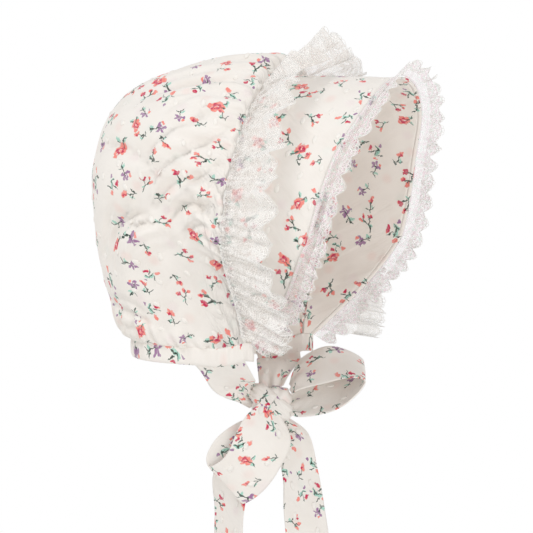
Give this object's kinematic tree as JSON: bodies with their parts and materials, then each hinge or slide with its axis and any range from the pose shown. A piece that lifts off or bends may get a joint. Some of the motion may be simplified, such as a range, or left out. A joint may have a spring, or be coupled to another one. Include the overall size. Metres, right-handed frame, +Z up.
{
  "type": "baby bonnet",
  "caption": "Soft baby bonnet with a gathered crown, a flared brim, lace trims on the brim's edge and seam, a neck band, and ties knotted in a bow.",
  "frame": {"origin": "top of the seam between crown and brim, where a head carries the bonnet", "axes": "+Z up, the face opening looks along -Y, and the wearer's right side is -X"},
  "size_m": [0.1577, 0.1839, 0.2772],
  "materials": {
    "crown_cotton": "matte cotton with woven tufts and a small floral print",
    "brim_cotton": "matte cotton with a small floral print, lined with the same",
    "band_cotton": "matte cotton casing",
    "edge_lace": "open lace with a faint sheen of colour",
    "seam_lace": "soft white net lace",
    "tie_cotton": "matte cotton with a small floral print"
  },
  "bodies": {
    "root": {"crown": "crown_cotton", "neck_band": "band_cotton", "brim": "brim_cotton", "brim_edge_lace": "edge_lace", "seam_lace": "seam_lace", "tie_right": "tie_cotton", "tie_left": "tie_cotton", "knot": "tie_cotton", "loop_front": "tie_cotton", "loop_side": "tie_cotton", "tail_front": "tie_cotton", "tail_rear": "tie_cotton"}
  },
  "joints": []
}
